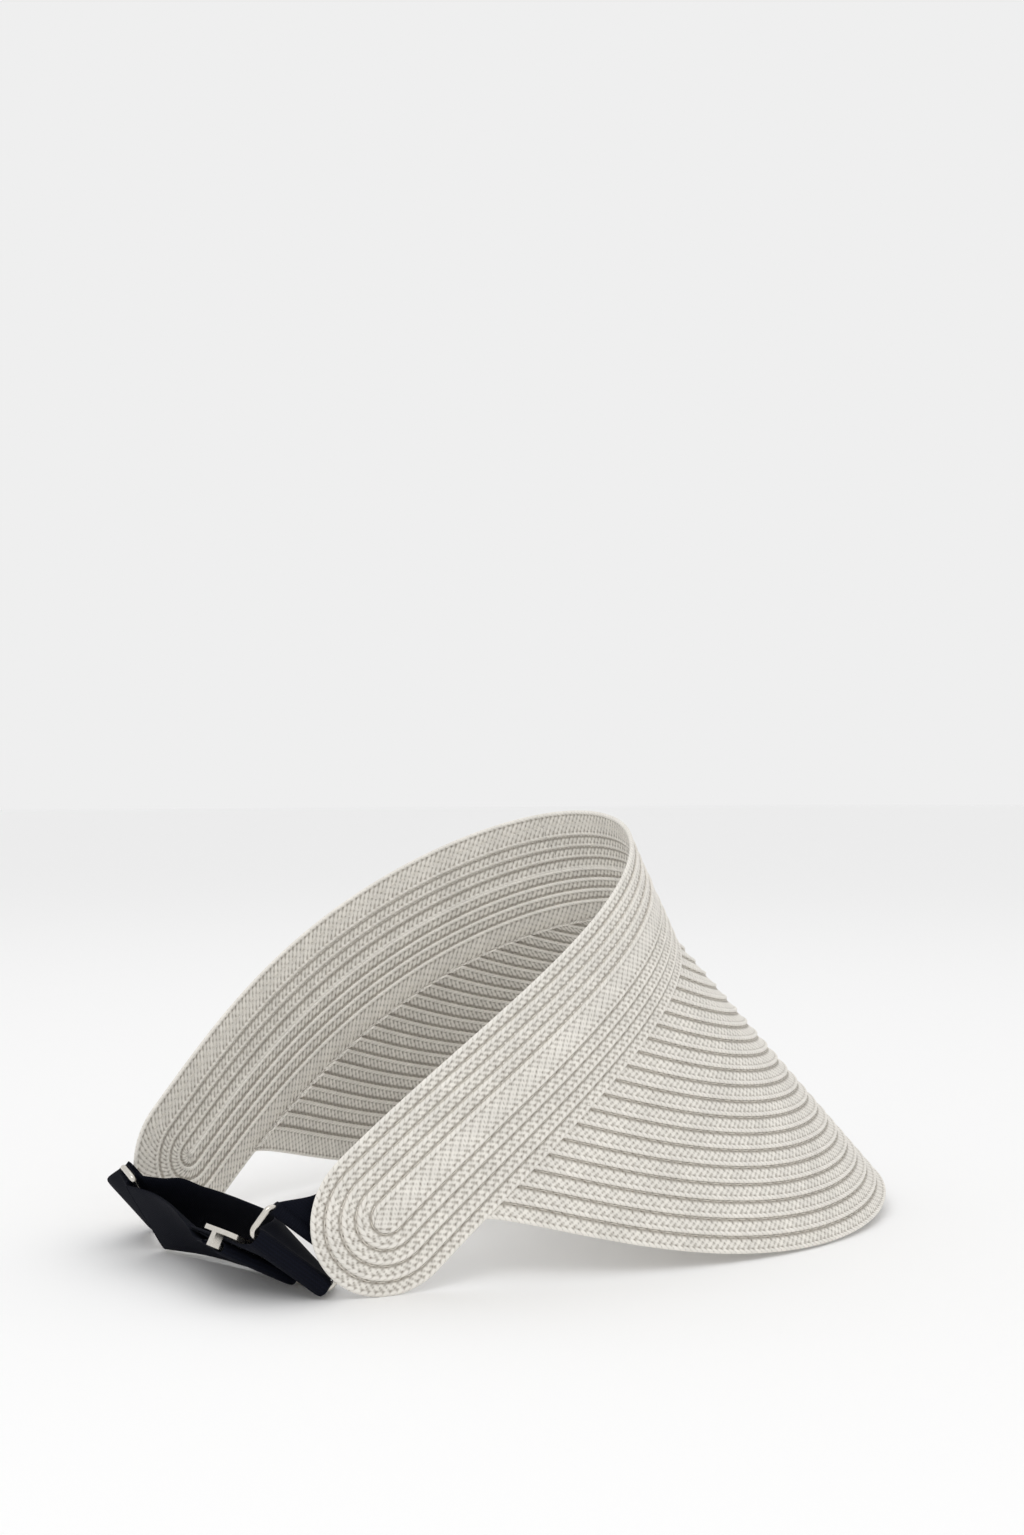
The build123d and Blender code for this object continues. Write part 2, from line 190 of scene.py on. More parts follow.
def move_inwards(line, distance):
    """Shift a brim line of (s, reach) rows towards the headband, square to itself."""
    for _ in range(4):
        s, reach = line[:, 0], line[:, 1]
        ahead = np.gradient(brim_point(s, reach), axis=0)
        side = brim_point(s + 0.5, reach) - brim_point(s - 0.5, reach)
        slope = brim_slope(s)
        inward = unit(np.cross(ahead, np.cross(side, slope)))
        inward = inward * -np.sign(np.sum(inward * slope, axis=1))[:, None]
        ss = np.sum(side * side, axis=1)
        sl = np.sum(side * slope, axis=1)
        a = np.sum(inward * side, axis=1)
        b = np.sum(inward * slope, axis=1)
        spread = ss - sl**2
        line = line + distance / 4 * np.column_stack([(a - b * sl) / spread, (b * ss - a * sl) / spread])
    return line


def even(points, step):
    """Evenly spaced values along a line of any dimension, measured on its first three columns."""
    length = np.concatenate([[0], np.cumsum(np.linalg.norm(np.diff(points[:, :3], axis=0), axis=1))])
    count = max(8, int(round(length[-1] / step)) + 1)
    wanted = np.linspace(0, length[-1], count)
    return wanted, np.column_stack([np.interp(wanted, length, points[:, k]) for k in range(points.shape[1])])


# ---- materials ----

def socket(sockets, key):
    """A node's socket by name, number or identifier. A colour mix has several with one name."""
    found = [one for one in sockets if one.identifier == key]
    return found[0] if found else sockets[key]


def add_node(tree, kind, settings=None, links=None):
    """Add a node, set its properties and sockets, and link its inputs."""
    node = tree.nodes.new(kind)
    properties = {key: value for key, value in (settings or {}).items() if hasattr(node, key)}
    for key, value in properties.items():
        setattr(node, key, value)
    for key, value in (settings or {}).items():
        if key not in properties:
            socket(node.inputs, key).default_value = value
    for key, source in (links or {}).items():
        tree.links.new(source, socket(node.inputs, key))
    return node


def colour_mix(tree, factor, low, high):
    """A mix of two colours by a factor socket, and its result."""
    node = add_node(tree, "ShaderNodeMix", {"data_type": "RGBA", "A_Color": low, "B_Color": high},
                    {"Factor_Float": factor})
    return socket(node.outputs, "Result_Color")


def new_material(name):
    """An empty node material and its tree."""
    material = bpy.data.materials.new(name)
    material.use_nodes = True
    tree = material.node_tree
    tree.nodes.clear()
    return material, tree


def straw_material(name, light, shade):
    """Bleached paper straw, rolled into strands and plaited.

    It is matt and slightly fibrous, nearly white where it stands proud; down between the strands
    its colour is a warmer, darker painted shade, and each strand is a little different from the next."""
    material, tree = new_material(name)
    relief = add_node(tree, "ShaderNodeAttribute", {"attribute_name": "relief"})
    strand = add_node(tree, "ShaderNodeAttribute", {"attribute_name": "strand"})
    place = add_node(tree, "ShaderNodeTexCoord")
    # rolled paper has creases about 0.2 mm apart
    fibre = add_node(tree, "ShaderNodeTexNoise", {"Scale": 1800.0, "Detail": 3.0, "Roughness": 0.6},
                     {"Vector": place.outputs["Object"]})
    patch = add_node(tree, "ShaderNodeTexNoise", {"Scale": 60.0, "Detail": 2.0}, {"Vector": place.outputs["Object"]})
    # painted shade: the colour goes from the straw towards the painted shade colour where the relief is low
    painted_depth_shade = add_node(tree, "ShaderNodeMapRange", {"From Min": 0.0, "From Max": 0.75}, {"Value": relief.outputs["Fac"]})
    base = colour_mix(tree, painted_depth_shade.outputs["Result"], linear(shade), linear(light))
    tone = add_node(tree, "ShaderNodeMapRange", {"From Min": 0.0, "From Max": 1.0, "To Min": 0.93, "To Max": 1.03},
                    {"Value": strand.outputs["Fac"]})
    spots = add_node(tree, "ShaderNodeMapRange", {"From Min": 0.3, "From Max": 0.7, "To Min": 0.96, "To Max": 1.02},
                     {"Value": patch.outputs["Fac"]})
    both = add_node(tree, "ShaderNodeMath", {"operation": "MULTIPLY"})
    tree.links.new(tone.outputs["Result"], both.inputs[0])
    tree.links.new(spots.outputs["Result"], both.inputs[1])
    shaded = add_node(tree, "ShaderNodeVectorMath", {"operation": "SCALE"},
                      {"Vector": base, "Scale": both.outputs["Value"]})
    bump = add_node(tree, "ShaderNodeBump", {"Strength": 0.35, "Distance": 0.12 * MM},
                    {"Height": fibre.outputs["Fac"]})
    shader = add_node(tree, "ShaderNodeBsdfPrincipled",
                      {"Roughness": 0.72, "IOR": 1.48, "Sheen Weight": 0.12, "Sheen Roughness": 0.5},
                      {"Base Color": shaded.outputs["Vector"], "Normal": bump.outputs["Normal"]})
    add_node(tree, "ShaderNodeOutputMaterial", None, {"Surface": shader.outputs["BSDF"]})
    return material


def webbing_material(name, colour, rib):
    """Elastic webbing of covered rubber and polyester yarn, woven in cross ribs.

    It is dark and matt, with fine ribs across it, painted darker in their troughs as shade and lighter on their crests
    as a highlight."""
    material, tree = new_material(name)
    uv = add_node(tree, "ShaderNodeUVMap", {"uv_map": "OFBake"})
    split = add_node(tree, "ShaderNodeSeparateXYZ", None, {"Vector": uv.outputs["UV"]})
    # the unwrap is in metres times ten, along U and across V
    ribs = add_node(tree, "ShaderNodeMath", {"operation": "MULTIPLY"}, {0: split.outputs["X"]})
    ribs.inputs[1].default_value = 2 * math.pi * 0.1 / rib
    wave = add_node(tree, "ShaderNodeMath", {"operation": "SINE"}, {0: ribs.outputs["Value"]})
    ends = add_node(tree, "ShaderNodeMath", {"operation": "MULTIPLY"}, {0: split.outputs["Y"]})
    ends.inputs[1].default_value = 2 * math.pi * 0.1 / (0.8 * MM)
    ends_wave = add_node(tree, "ShaderNodeMath", {"operation": "SINE"}, {0: ends.outputs["Value"]})
    cross = add_node(tree, "ShaderNodeMath", {"operation": "MULTIPLY"},
                     {0: wave.outputs["Value"], 1: ends_wave.outputs["Value"]})
    weave = add_node(tree, "ShaderNodeMath", {"operation": "ADD"},
                     {0: wave.outputs["Value"], 1: cross.outputs["Value"]})
    place = add_node(tree, "ShaderNodeTexCoord")
    fuzz = add_node(tree, "ShaderNodeTexNoise", {"Scale": 3000.0, "Detail": 2.0}, {"Vector": place.outputs["Object"]})
    level = add_node(tree, "ShaderNodeMapRange", {"From Min": -2.0, "From Max": 2.0}, {"Value": weave.outputs["Value"]})
    dark = linear(colour)
    # painted shade and painted highlight: the navy is darkened in the rib troughs and lightened on the crests
    colours = colour_mix(tree, level.outputs["Result"], tuple(c * 0.55 for c in dark[:3]) + (1,),
                         tuple(c * 1.35 for c in dark[:3]) + (1,))
    height = add_node(tree, "ShaderNodeMath", {"operation": "MULTIPLY_ADD"},
                      {0: fuzz.outputs["Fac"], 2: level.outputs["Result"]})
    height.inputs[1].default_value = 0.35
    bump = add_node(tree, "ShaderNodeBump", {"Strength": 0.6, "Distance": 0.2 * MM}, {"Height": height.outputs["Value"]})
    shader = add_node(tree, "ShaderNodeBsdfPrincipled",
                      {"Roughness": 0.9, "IOR": 1.4, "Specular IOR Level": 0.2},
                      {"Base Color": colours, "Normal": bump.outputs["Normal"]})
    add_node(tree, "ShaderNodeOutputMaterial", None, {"Surface": shader.outputs["BSDF"]})
    return material


def nickel_material(name):
    """Steel wire and strip, bent, then polished and nickel plated.

    It is bright and slightly warm, with soft-edged reflections and faint polishing marks."""
    material, tree = new_material(name)
    place = add_node(tree, "ShaderNodeTexCoord")
    marks = add_node(tree, "ShaderNodeTexNoise", {"Scale": 900.0, "Detail": 4.0}, {"Vector": place.outputs["Object"]})
    rough = add_node(tree, "ShaderNodeMapRange", {"To Min": 0.16, "To Max": 0.30}, {"Value": marks.outputs["Fac"]})
    tint = colour_mix(tree, marks.outputs["Fac"], linear("C9C4BB"), linear("DEDAD3"))
    bump = add_node(tree, "ShaderNodeBump", {"Strength": 0.08, "Distance": 0.05 * MM}, {"Height": marks.outputs["Fac"]})
    shader = add_node(tree, "ShaderNodeBsdfPrincipled", {"Metallic": 1.0},
                      {"Base Color": tint, "Roughness": rough.outputs["Result"],
                       "Normal": bump.outputs["Normal"]})
    add_node(tree, "ShaderNodeOutputMaterial", None, {"Surface": shader.outputs["BSDF"]})
    return material


def thread_material(name):
    """Spun polyester sewing thread in the straw's colour. Matt, with a fine twist along it."""
    material, tree = new_material(name)
    place = add_node(tree, "ShaderNodeTexCoord")
    twist = add_node(tree, "ShaderNodeTexNoise", {"Scale": 4000.0, "Detail": 1.0}, {"Vector": place.outputs["Object"]})
    tint = colour_mix(tree, twist.outputs["Fac"], linear("D8D2C6"), linear("EFEBE2"))
    shader = add_node(tree, "ShaderNodeBsdfPrincipled", {"Roughness": 0.6}, {"Base Color": tint})
    add_node(tree, "ShaderNodeOutputMaterial", None, {"Surface": shader.outputs["BSDF"]})
    return material


# ---- meshes ----

def mesh_object(name, points, quads, uv=None, fields=None):
    """A smooth mesh piece from arrays in millimetres, before the CAD's shift."""
    mesh = bpy.data.meshes.new(name)
    points = (points + SHIFT) * MM
    mesh.vertices.add(len(points))
    mesh.vertices.foreach_set("co", points.astype(np.float32).ravel())
    mesh.loops.add(quads.size)
    mesh.loops.foreach_set("vertex_index", quads.astype(np.int32).ravel())
    mesh.polygons.add(len(quads))
    mesh.polygons.foreach_set("loop_start", np.arange(len(quads), dtype=np.int32) * 4)
    mesh.update(calc_edges=True)
    mesh.validate()
    mesh.shade_smooth()
    if uv is not None:
        layer = mesh.uv_layers.new(name="OFBake")
        layer.data.foreach_set("uv", uv.astype(np.float32).ravel())
    for key, values in (fields or {}).items():
        attribute = mesh.attributes.new(key, "FLOAT", "POINT")
        attribute.data.foreach_set("value", values.astype(np.float32).ravel())
    piece = bpy.data.objects.new(name, mesh)
    bpy.context.scene.collection.objects.link(piece)
    return piece


def loop_tube(rings, per_ring):
    """Quads that join rings of points in order, and close each ring."""
    i = np.arange(rings - 1)[:, None] * per_ring
    j = np.arange(per_ring)[None, :]
    k = (j + 1) % per_ring
    return np.stack([i + j, i + k, i + per_ring + k, i + per_ring + j], axis=-1).reshape(-1, 4)


def strand_pattern(a, c, half, width):
    """Relief from 0 to 1, and a number for each strand, on one face of a plait.

    Strands run slantwise over the middle and turn back in a twisted cord along both edges,
    with small gaps between the cord and the middle."""
    share = np.abs(c) / np.maximum(half, 1e-6)
    cord = np.clip((share - 0.70) / 0.05, 0, 1)
    fold = np.minimum(np.abs(c), 0.73 * half)
    lean = np.where(c > 0, 1.0, -1.0) * (0.95 * fold - 1.25 * (np.abs(c) - fold))
    place = (a + lean) / width
    turn = place - np.floor(place)
    ridge = np.clip(1 - (2 * turn - 1) ** 2, 0, 1) ** 0.75
    crossing = 0.5 + 0.5 * np.cos(math.pi * (a - 1.3 * c) / width)
    body = 0.74 * ridge + 0.26 * crossing
    rope = 0.35 + 0.65 * ridge
    relief = body * (1 - cord) + rope * cord
    gap = np.exp(-((share - 0.68) / 0.07) ** 2)
    relief = relief * (1 - 0.75 * gap * (0.35 + 0.65 * (1 - ridge)))
    tone = np.modf(np.abs(np.sin(np.floor(place) * 12.9898 + 4.1) * 43758.5453))[0]
    return np.clip(relief, 0, 1), tone


SIDE_STEPS = 17
SIDES = np.linspace(-1, 1, SIDE_STEPS)
SIDES = np.sign(SIDES) * np.abs(SIDES) ** 0.78     # closer together near the two edges


def plait(name, grid, face, spread, straw, slant_out, level=0.0, seam_out=None, seam_in=None):
    """A flat plait of crossing strands.

    grid holds points along the plait and across it, spread their distance in mm from its middle.
    The side with positive spread shows outside and is raised by slant_out mm. seam_out and seam_in
    say at what spread the next plait's raised edge lies on each face, where there is one."""
    width = straw.plait_width / MM
    thick = straw.plait_thickness / MM / 2
    line = grid[:, SIDE_STEPS // 2 + 2]
    length = np.concatenate([[0], np.cumsum(np.linalg.norm(np.diff(line, axis=0), axis=1))])
    a = np.repeat(length[:, None], SIDE_STEPS, axis=1)
    strand = straw.strand_width / MM
    half = np.abs(spread).max(axis=1, keepdims=True)
    relief_out, tone_out = strand_pattern(a, spread, half, strand)
    relief_in, tone_in = strand_pattern(a + strand * 0.71, spread, half, strand)
    edge = np.sqrt(np.clip(1 - SIDES**6, 0.0, 1))[None, :]
    bead = 0.42 * np.exp(-((np.abs(SIDES) - 0.86) / 0.11) ** 2)[None, :]
    amount = straw.relief / MM
    base = spread / width * 2 * slant_out + level
    up = base + edge * (thick - amount + amount * relief_out) + bead
    down = base - edge * (thick - amount + amount * relief_in) - bead
    # painted shade: the relief that colours the straw is lowered just beside the next plait's raised edge, where its
    # shadow falls; the mesh keeps its shape
    for relief, seam in ((relief_out, seam_out), (relief_in, seam_in)):
        if seam is not None:
            relief *= 1 - 0.8 * np.exp(-((spread - seam) / 0.55) ** 2)
    ring = np.concatenate([grid, grid[:, ::-1]], axis=1)
    ring_h = np.concatenate([up, down[:, ::-1]], axis=1)
    points = ring + ring_h[..., None] * face[:, None, :]
    per = 2 * SIDE_STEPS
    quads = loop_tube(len(grid), per)
    # the relief field colours the straw: where it is low the straw gets painted shade
    fields = {
        "relief": np.concatenate([relief_out, relief_in[:, ::-1]], axis=1),
        "strand": np.concatenate([tone_out, tone_in[:, ::-1]], axis=1),
    }
    i = np.repeat(np.arange(len(grid) - 1), per)
    j = np.tile(np.arange(per), len(grid) - 1)
    u0, u1 = length[i] / 1000, length[i + 1] / 1000
    v0, v1 = j * 0.6 / 1000, (j + 1) * 0.6 / 1000
    uv = np.stack([u0, v0, u0, v1, u1, v1, u1, v0], axis=-1)
    piece = mesh_object(name, points.reshape(-1, 3), quads, uv, fields)
    close_ends(piece, per, len(grid))
    return piece


def oval_path(offset, start=20.0, gap=0.1):
    """(s, w) along an oval round at offset from the headband's middle line, with its outward way."""
    half = math.pi / 2
    bend = np.linspace(half, -half, 41)[1:-1]
    s = np.concatenate([
        np.linspace(start, END_CENTRE, 200), END_CENTRE + offset * np.cos(bend),
        np.linspace(END_CENTRE, -END_CENTRE, 400), -END_CENTRE - offset * np.cos(bend),
        np.linspace(-END_CENTRE, start - gap, 220)])
    w = np.concatenate([
        np.full(200, offset), offset * np.sin(bend), np.full(400, -offset),
        -offset * np.sin(bend), np.full(220, offset)])
    return s, w


def headband_round(number, straw):
    """One round of plait, its outer edge over the next round's hidden half."""
    half = straw.plait_width / MM / 2
    middle = CORE_WIDTH / 2 + number * BAND_PITCH - half
    s, w = oval_path(middle)
    outer_s, outer_w = oval_path(middle + 1.0)
    inside = band_point(s, w)
    outside = band_point(outer_s, outer_w)
    route = np.column_stack([inside, outside - inside, band_frame(s)[3], w / middle])
    data = even(route, straw.sample / MM)[1]
    centre, across, face = data[:, :3], unit(data[:, 3:6]), unit(data[:, 6:9])
    slant = np.interp(data[:, 9], [-1, 0, 1], [0.75, 0.65, 0.4])[:, None]
    spread = np.repeat(SIDES[None, :] * half, len(centre), axis=0)
    grid = centre[:, None, :] + spread[..., None] * across[:, None, :]
    seam = half - BAND_PITCH + SEAM_WIDTH
    inner = None if number == BAND_ROUNDS else -seam
    return plait(f"headband_plait_{number}", grid, face, spread, straw, slant, seam_out=seam, seam_in=inner)


def headband_core(straw):
    """The straight plait in the middle, on top of the first round, with rounded ends."""
    half = straw.plait_width / MM / 2
    reach = END_CENTRE + half * 0.96
    s = np.linspace(-reach, reach, int(2 * reach / (straw.sample / MM)))
    past = np.maximum(0, np.abs(s) - END_CENTRE)
    spread = SIDES[None, :] * np.sqrt(np.maximum(0, half**2 - past**2))[:, None]
    middle, _, up, out = band_frame(s)
    grid = middle[:, None, :] + spread[..., None] * up[:, None, :]
    return plait("headband_plait_core", grid, out, spread, straw, 0.0, 0.55)


def brim_row(number, lines, straw):
    """One row of the brim, counted from its free edge, tucked under the row nearer the head."""
    width = straw.plait_width / MM
    depth = (number - 1) * BRIM_PITCH + (1 - SIDES) * width / 2
    place = np.clip(depth / FINE_STEP, 0, len(lines) - 1.001)
    low = place.astype(int)
    part = (place - low)[None, :, None]
    rows = lines.transpose(1, 0, 2)
    flat = rows[:, low] * (1 - part) + rows[:, low + 1] * part
    keep = np.where(flat[:, -1, 1] > -TUCK)[0]
    flat = flat[keep[0]:keep[-1] + 1]
    flat[..., 1] = np.maximum(flat[..., 1], -TUCK)
    visible = brim_point(flat[:, -4, 0], flat[:, -4, 1])
    packed = np.column_stack([visible, flat.reshape(len(flat), -1)])
    data = even(packed, straw.sample / MM)[1]
    flat = data[:, 3:].reshape(len(data), SIDE_STEPS, 2)
    grid = brim_point(flat[..., 0].ravel(), flat[..., 1].ravel()).reshape(len(data), SIDE_STEPS, 3)
    s = flat[:, -4, 0]
    side = unit(brim_point(s + 0.5, flat[:, -4, 1]) - brim_point(s - 0.5, flat[:, -4, 1]))
    face = unit(np.cross(brim_slope(s), side)) * -1
    outward = band_frame(s)[3]
    face = face * np.sign(np.sum(face * outward, axis=1))[:, None]
    spread = np.repeat(SIDES[None, :] * width / 2, len(data), axis=0)
    seam = width / 2 - BRIM_PITCH + SEAM_WIDTH
    inner = None if number == 1 else -seam
    return plait(f"brim_plait_{number:02d}", grid, face, spread, straw, 0.7, seam_out=seam, seam_in=inner)


def finish_piece(piece, material, slot, *nodes):
    """Give a piece its material and hide the CAD nodes that it stands for; slot is not used."""
    piece.data.materials.clear()
    piece.data.materials.append(material)
    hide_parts(*nodes)


def ride_and_replace(piece, body, material, slot, *nodes):
    """Finish a piece that moves with one body."""
    finish_piece(piece, material, slot, *nodes)
    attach(piece, body)


def brim_lines():
    """Lines parallel to the brim's free edge and FINE_STEP apart, as (s, reach) rows."""
    fraction = np.sin(np.linspace(-1, 1, 401) * math.pi / 2)
    line = np.column_stack([fraction * BRIM_SPAN, BRIM_DEPTH * (1 - fraction**2) ** 1.15])
    lines = [line]
    for _ in range(int((BRIM_DEPTH + 12) / FINE_STEP)):
        line = move_inwards(line, FINE_STEP)
        line[:, 1] = np.maximum(line[:, 1], -30)
        line[:, 0] = np.clip(line[:, 0], -BRIM_SPAN - 20, BRIM_SPAN + 20)
        lines.append(line)
    return np.array(lines)


def get_material(name, maker, *values):
    """The named material, made the first time it is asked for."""
    return bpy.data.materials.get(name) or maker(name, *values)


def bleached_straw(straw):
    return get_material("Paper straw, bleached and plaited", straw_material, straw.straw, straw.straw_painted_shade)


def stitches(name, lines):
    """Short stitches of thread in the step beside each proud edge. lines are (points, faces)."""
    length, pause, radius = 3.0, 1.6, 0.13
    sides, rings = 5, 5
    along = np.linspace(0, 1, rings)
    thick = radius * np.sqrt(np.clip(1 - (2 * along - 1) ** 4, 0.05, 1))
    angle = np.arange(sides) * 2 * math.pi / sides
    all_points, all_quads, count = [], [], 0
    for points, faces in lines:
        run = np.concatenate([[0], np.cumsum(np.linalg.norm(np.diff(points, axis=0), axis=1))])
        starts = np.arange(1.0, run[-1] - length - 1.0, length + pause)
        where = starts[:, None] + along[None, :] * length
        spot = np.stack([np.interp(where, run, points[:, k]) for k in range(3)], axis=-1)
        face = unit(np.stack([np.interp(where, run, faces[:, k]) for k in range(3)], axis=-1))
        ahead = unit(spot[:, -1] - spot[:, 0])[:, None, :]
        side = unit(np.cross(ahead, face))
        dip = -0.35 * (2 * along - 1) ** 4
        spot = spot + dip[None, :, None] * face
        ring = (spot[:, :, None, :]
                + thick[None, :, None, None] * np.cos(angle)[None, None, :, None] * side[:, :, None, :]
                + thick[None, :, None, None] * np.sin(angle)[None, None, :, None] * face[:, :, None, :])
        quads = loop_tube(rings, sides)
        for k in range(len(starts)):
            all_quads.append(quads + count)
            count += rings * sides
        all_points.append(ring.reshape(-1, 3))
    return mesh_object(name, np.concatenate(all_points), np.concatenate(all_quads))


# ---- the webbing ----

def stations_line(stations, step):
    """Even points along webbing stations, each its middle and the direction of its width."""
    middle = np.array([m for m, _ in stations], dtype=float)
    across = unit(np.array([d for _, d in stations], dtype=float))
    knots = np.concatenate([[0], np.cumsum(np.linalg.norm(np.diff(middle, axis=0), axis=1) ** 0.75)])
    data = np.column_stack([middle, across])
    slope = np.gradient(data, knots, axis=0)
    dense = []
    for k in range(len(knots) - 1):
        h = knots[k + 1] - knots[k]
        t = np.linspace(0, 1, 24, endpoint=k == len(knots) - 2)[:, None]
        dense.append((2 * t**3 - 3 * t**2 + 1) * data[k] + (t**3 - 2 * t**2 + t) * h * slope[k]
                     + (-2 * t**3 + 3 * t**2) * data[k + 1] + (t**3 - t**2) * h * slope[k + 1])
    run, data = even(np.concatenate(dense), step)
    return run, data[:, :3], unit(data[:, 3:6])


def webbing(name, stations, settings, thickness=None, wave=None, step=0.6):
    """A length of webbing: slightly crowned, with rounded selvedges."""
    thick = (settings.thickness / MM if thickness is None else thickness) / 2
    half = settings.width / MM / 2
    run, middle, across = stations_line(stations, step)
    ahead = unit(np.gradient(middle, axis=0))
    face = unit(np.cross(ahead, across))
    side = np.sin(np.linspace(-1, 1, 25) * math.pi / 2)
    height = thick * np.clip(1 - np.abs(side) ** 14, 0.0, 1) ** 0.5
    reach = np.repeat(side[None, :] * half, len(run), axis=0)
    if wave is not None:
        reach = reach + np.where(side > 0, side**3, 0)[None, :] * wave(run)[:, None]
    up = np.concatenate([height, -height[::-1]])
    reach = np.concatenate([reach, reach[:, ::-1]], axis=1)
    points = middle[:, None, :] + reach[..., None] * across[:, None, :]
    points = points + up[None, :, None] * face[:, None, :]
    per = len(up)
    quads = loop_tube(len(run), per)
    i = np.repeat(np.arange(len(run) - 1), per)
    j = np.tile(np.arange(per), len(run) - 1)
    width = np.concatenate([side, side[::-1] + 3.0]) * half * MM * 10
    u0, u1 = run[i] * MM * 10, run[i + 1] * MM * 10
    v0, v1 = width[j], width[(j + 1) % per]
    uv = np.stack([u0, v0, u0, v1, u1, v1, u1, v0], axis=-1)
    piece = mesh_object(name, points.reshape(-1, 3), quads, uv)
    close_ends(piece, per, len(run))
    return piece


def close_ends(piece, per, rings):
    """Close a tube's two open ends, each with one face."""
    work = bmesh.new()
    work.from_mesh(piece.data)
    work.verts.ensure_lookup_table()
    work.faces.new([work.verts[k] for k in range(per)])
    work.faces.new([work.verts[(rings - 1) * per + k] for k in reversed(range(per))])
    work.to_mesh(piece.data)
    work.free()


def vec(*values):
    return np.array(values, dtype=float)


FAR_BARS = vec(-0.548412, -0.119654, 0.827603)
FAR_STRAP_BAR = vec(-163.3, 23.6, 13.6)
FAR_PULL = vec(0.11304, 0.970017, 0.215149)
FAR_INSIDE = vec(0.828533, -0.211542, 0.518443)
FAR_TAB_BAR = FAR_STRAP_BAR + FAR_PULL * 9.6
NEAR_BARS = vec(-0.765864, 0.16511, 0.621443)
NEAR_STRAP_BAR = vec(-157.6509, -52.1533, 11.4267)
NEAR_PULL = vec(0.609166, -0.123079, 0.783434)
NEAR_TAB_BAR = NEAR_STRAP_BAR + NEAR_PULL * 9.6
NEAR_UPPER = vec(0.630091, 0, 0.776521)
NEAR_AWAY = vec(0.128212, 0.986275, -0.104034)
SLIDER = vec(-159.2, -37.5, 11.2)
SLIDER_ACROSS = unit(vec(-0.885, 0, 0.466))
SLIDER_UP = unit(vec(0.466, 0, 0.885))
BAR_BELOW = 2.65           # the middle bar's middle, under the threaded strap
FOLD_RADIUS = 2.6


def fold(bar, bars, first, apex):
    """Stations half way round a bar, from first by way of apex."""
    result = []
    for angle in range(0, 181, 30):
        turn = math.radians(angle)
        result.append((bar + (first * math.cos(turn) + apex * math.sin(turn)) * FOLD_RADIUS, bars))
    return result


def slider_plane(y, below=0.0):
    return vec(SLIDER[0], y, SLIDER[2]) - SLIDER_UP * below


# ---- operators: one for each group of pieces, and one for the stage ----

class VISOR_OT_headband(bpy.types.Operator):
    """Plait the headband: a straight core and four rounds"""
    bl_idname = "visor.headband"
    bl_label = "Headband"

    def execute(self, context):
        straw = context.scene.visor_straw
        material = bleached_straw(straw)
        ride_and_replace(headband_core(straw), "visor", material, "straw_braid", "headband_core")
        for number in range(1, BAND_ROUNDS + 1):
            piece = headband_round(number, straw)
            ride_and_replace(piece, "visor", material, "straw_braid", f"headband_round_{number}")
        return {"FINISHED"}


class VISOR_OT_brim(bpy.types.Operator):
    """Plait the brim, row by row from its free edge"""
    bl_idname = "visor.brim"
    bl_label = "Brim"

    def execute(self, context):
        straw = context.scene.visor_straw
        material = bleached_straw(straw)
        lines = brim_lines()
        for number in range(1, BRIM_ROWS + 1):
            piece = brim_row(number, lines, straw)
            ride_and_replace(piece, "visor", material, "straw_braid", f"brim_row_{number:02d}")
        return {"FINISHED"}


class VISOR_OT_stitching(bpy.types.Operator):
    """Sew the plait together along every seam"""
    bl_idname = "visor.stitching"
    bl_label = "Stitching"

    def execute(self, context):
        material = get_material("Polyester sewing thread, spun", thread_material)
        seams = []
        for number in range(BAND_ROUNDS):
            s, w = oval_path(CORE_WIDTH / 2 + number * BAND_PITCH + 0.35)
            for h in (0.62, -1.0):
                seams.append((band_point(s, w, np.full(len(s), h)), band_frame(s)[3] * np.sign(h)))
        piece = stitches("headband_thread", seams)
        ride_and_replace(piece, "visor", material, "sewing_thread", "headband_stitching")
        lines = brim_lines()
        seams = []
        for number in range(1, BRIM_ROWS):
            place = (number * BRIM_PITCH - 0.35) / FINE_STEP
            low = int(place)
            line = lines[low] * (1 - place + low) + lines[low + 1] * (place - low)
            line = line[line[:, 1] > 1.0]
            points = brim_point(line[:, 0], line[:, 1])
            side = brim_point(line[:, 0] + 0.5, line[:, 1]) - brim_point(line[:, 0] - 0.5, line[:, 1])
            face = unit(np.cross(side, brim_slope(line[:, 0])))
            face = face * np.sign(np.sum(face * band_frame(line[:, 0])[3], axis=1))[:, None]
            seams.append((points + face * 0.55, face))
        piece = stitches("brim_thread", seams)
        ride_and_replace(piece, "visor", material, "sewing_thread", "brim_stitching")
        s = np.linspace(-BRIM_SPAN + 6, BRIM_SPAN - 6, 300)
        points = band_point(s, np.full(300, -BAND_WIDTH / 2 + 0.8), np.full(300, 1.15))
        piece = stitches("joining_thread", [(points, band_frame(s)[3])])
        ride_and_replace(piece, "visor", material, "sewing_thread", "joining_stitching")
        return {"FINISHED"}


